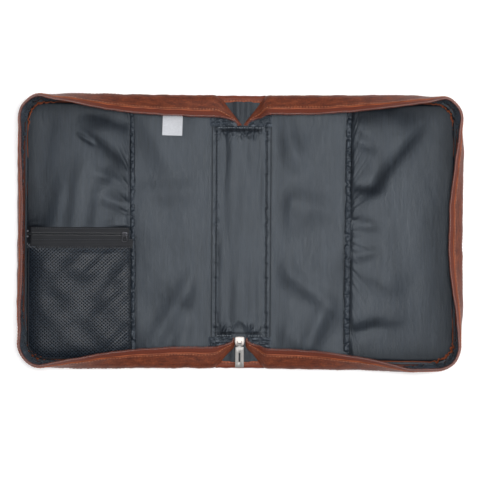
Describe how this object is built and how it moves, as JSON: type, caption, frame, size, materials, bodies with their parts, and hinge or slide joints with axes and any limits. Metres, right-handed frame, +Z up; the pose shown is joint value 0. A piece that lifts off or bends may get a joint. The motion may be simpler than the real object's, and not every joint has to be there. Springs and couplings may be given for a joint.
{
  "type": "zip-around book case",
  "caption": "Brown leather-look zip-around book and organiser case lying open, with grey nylon lining, elastic sleeves, a zipped mesh pocket and a metal zip pull",
  "frame": {"origin": "on the ground under the middle of the spine, at the bottom centre of the whole open case", "axes": "+X across the open case to the right cover, +Y along the spine to the end away from the zip slider, +Z up"},
  "size_m": [0.4298, 0.2698, 0.0279],
  "materials": {
    "leather": "fine grain, semi-matt",
    "edge_leather": "turned edge, semi-matt",
    "zip_tape": "woven tape",
    "zip_coil": "nylon coil",
    "seam_binding": "wrinkled binding",
    "nylon": "satin nylon",
    "nylon_dark": "satin nylon",
    "mesh": "knitted mesh",
    "pocket_tape": "woven tape",
    "pocket_coil": "nylon coil",
    "label": "satin ribbon",
    "foam": "thin foam",
    "board": "grey board",
    "slider": "satin plated",
    "pull": "brushed nickel",
    "pocket_metal": "dark plated"
  },
  "bodies": {
    "spine": {"spine_leather": "leather", "spine_foam": "foam", "spine_board": "board", "spine_lining": "nylon", "spine_strip": "nylon_dark", "top_binding": "edge_leather", "bottom_binding": "edge_leather", "top_gusset_liner": "nylon_dark", "bottom_gusset_liner": "nylon_dark", "top_left_wall_end": "leather", "top_right_wall_end": "leather", "bottom_left_wall_end": "leather", "bottom_right_wall_end": "leather", "top_left_tape_end": "zip_tape", "top_right_tape_end": "zip_tape", "bottom_left_tape_end": "zip_tape", "bottom_right_tape_end": "zip_tape", "top_left_coil_end": "zip_coil", "top_right_coil_end": "zip_coil", "bottom_left_coil_end": "zip_coil", "bottom_right_coil_end": "zip_coil"},
    "left_cover": {"left_cover_leather": "leather", "left_cover_foam": "foam", "left_cover_board": "board", "left_cover_lining": "nylon", "left_wall_leather": "leather", "left_wall_lining": "nylon", "left_zip_tape": "zip_tape", "left_zip_coil": "zip_coil", "left_seam_binding": "seam_binding", "left_sleeve": "nylon_dark", "left_sleeve_hem": "nylon", "pocket_upper_tape": "pocket_tape", "pocket_lower_tape": "pocket_tape", "pocket_upper_coil": "pocket_coil", "pocket_lower_coil": "pocket_coil", "pocket_zip_stops": "pocket_metal", "mesh_band": "pocket_tape", "mesh_panel": "mesh", "care_label": "label"},
    "right_cover": {"right_cover_leather": "leather", "right_cover_foam": "foam", "right_cover_board": "board", "right_cover_lining": "nylon", "right_wall_leather": "leather", "right_wall_lining": "nylon", "right_zip_tape": "zip_tape", "right_zip_coil": "zip_coil", "right_seam_binding": "seam_binding", "right_sleeve": "nylon_dark", "right_sleeve_hem": "nylon"},
    "pocket_slider": {"pocket_slider_body": "pocket_metal"},
    "pocket_pull": {"pocket_pull_loop": "pocket_metal"},
    "zip_slider": {"zip_slider_body": "slider"},
    "zip_pull": {"zip_pull_tab": "pull"}
  },
  "joints": [
    {"name": "left_cover_fold", "type": "hinge", "parent": "spine", "child": "left_cover", "pos_m": [-0.028, 0, 0.0006], "axis": [0, 1, 0], "range_deg": [0, 90]},
    {"name": "right_cover_fold", "type": "hinge", "parent": "spine", "child": "right_cover", "pos_m": [0.028, 0, 0.0006], "axis": [0, -1, 0], "range_deg": [0, 90]},
    {"name": "zip_slider_travel", "type": "slide", "parent": "spine", "child": "zip_slider", "axis": [0, 1, 0], "range_m": [0, 0.006]},
    {"name": "zip_pull_swing", "type": "hinge", "parent": "zip_slider", "child": "zip_pull", "pos_m": [0, -0.107, 0.01125], "axis": [-1, 0, 0], "range_deg": [0, 175]},
    {"name": "pocket_slider_travel", "type": "slide", "parent": "left_cover", "child": "pocket_slider", "axis": [-1, 0, 0], "range_m": [0, 0.085]},
    {"name": "pocket_pull_swing", "type": "hinge", "parent": "pocket_slider", "child": "pocket_pull", "pos_m": [-0.1098, -0.003, 0.0143], "axis": [-1, 0, 0], "range_deg": [0, 170]}
  ]
}
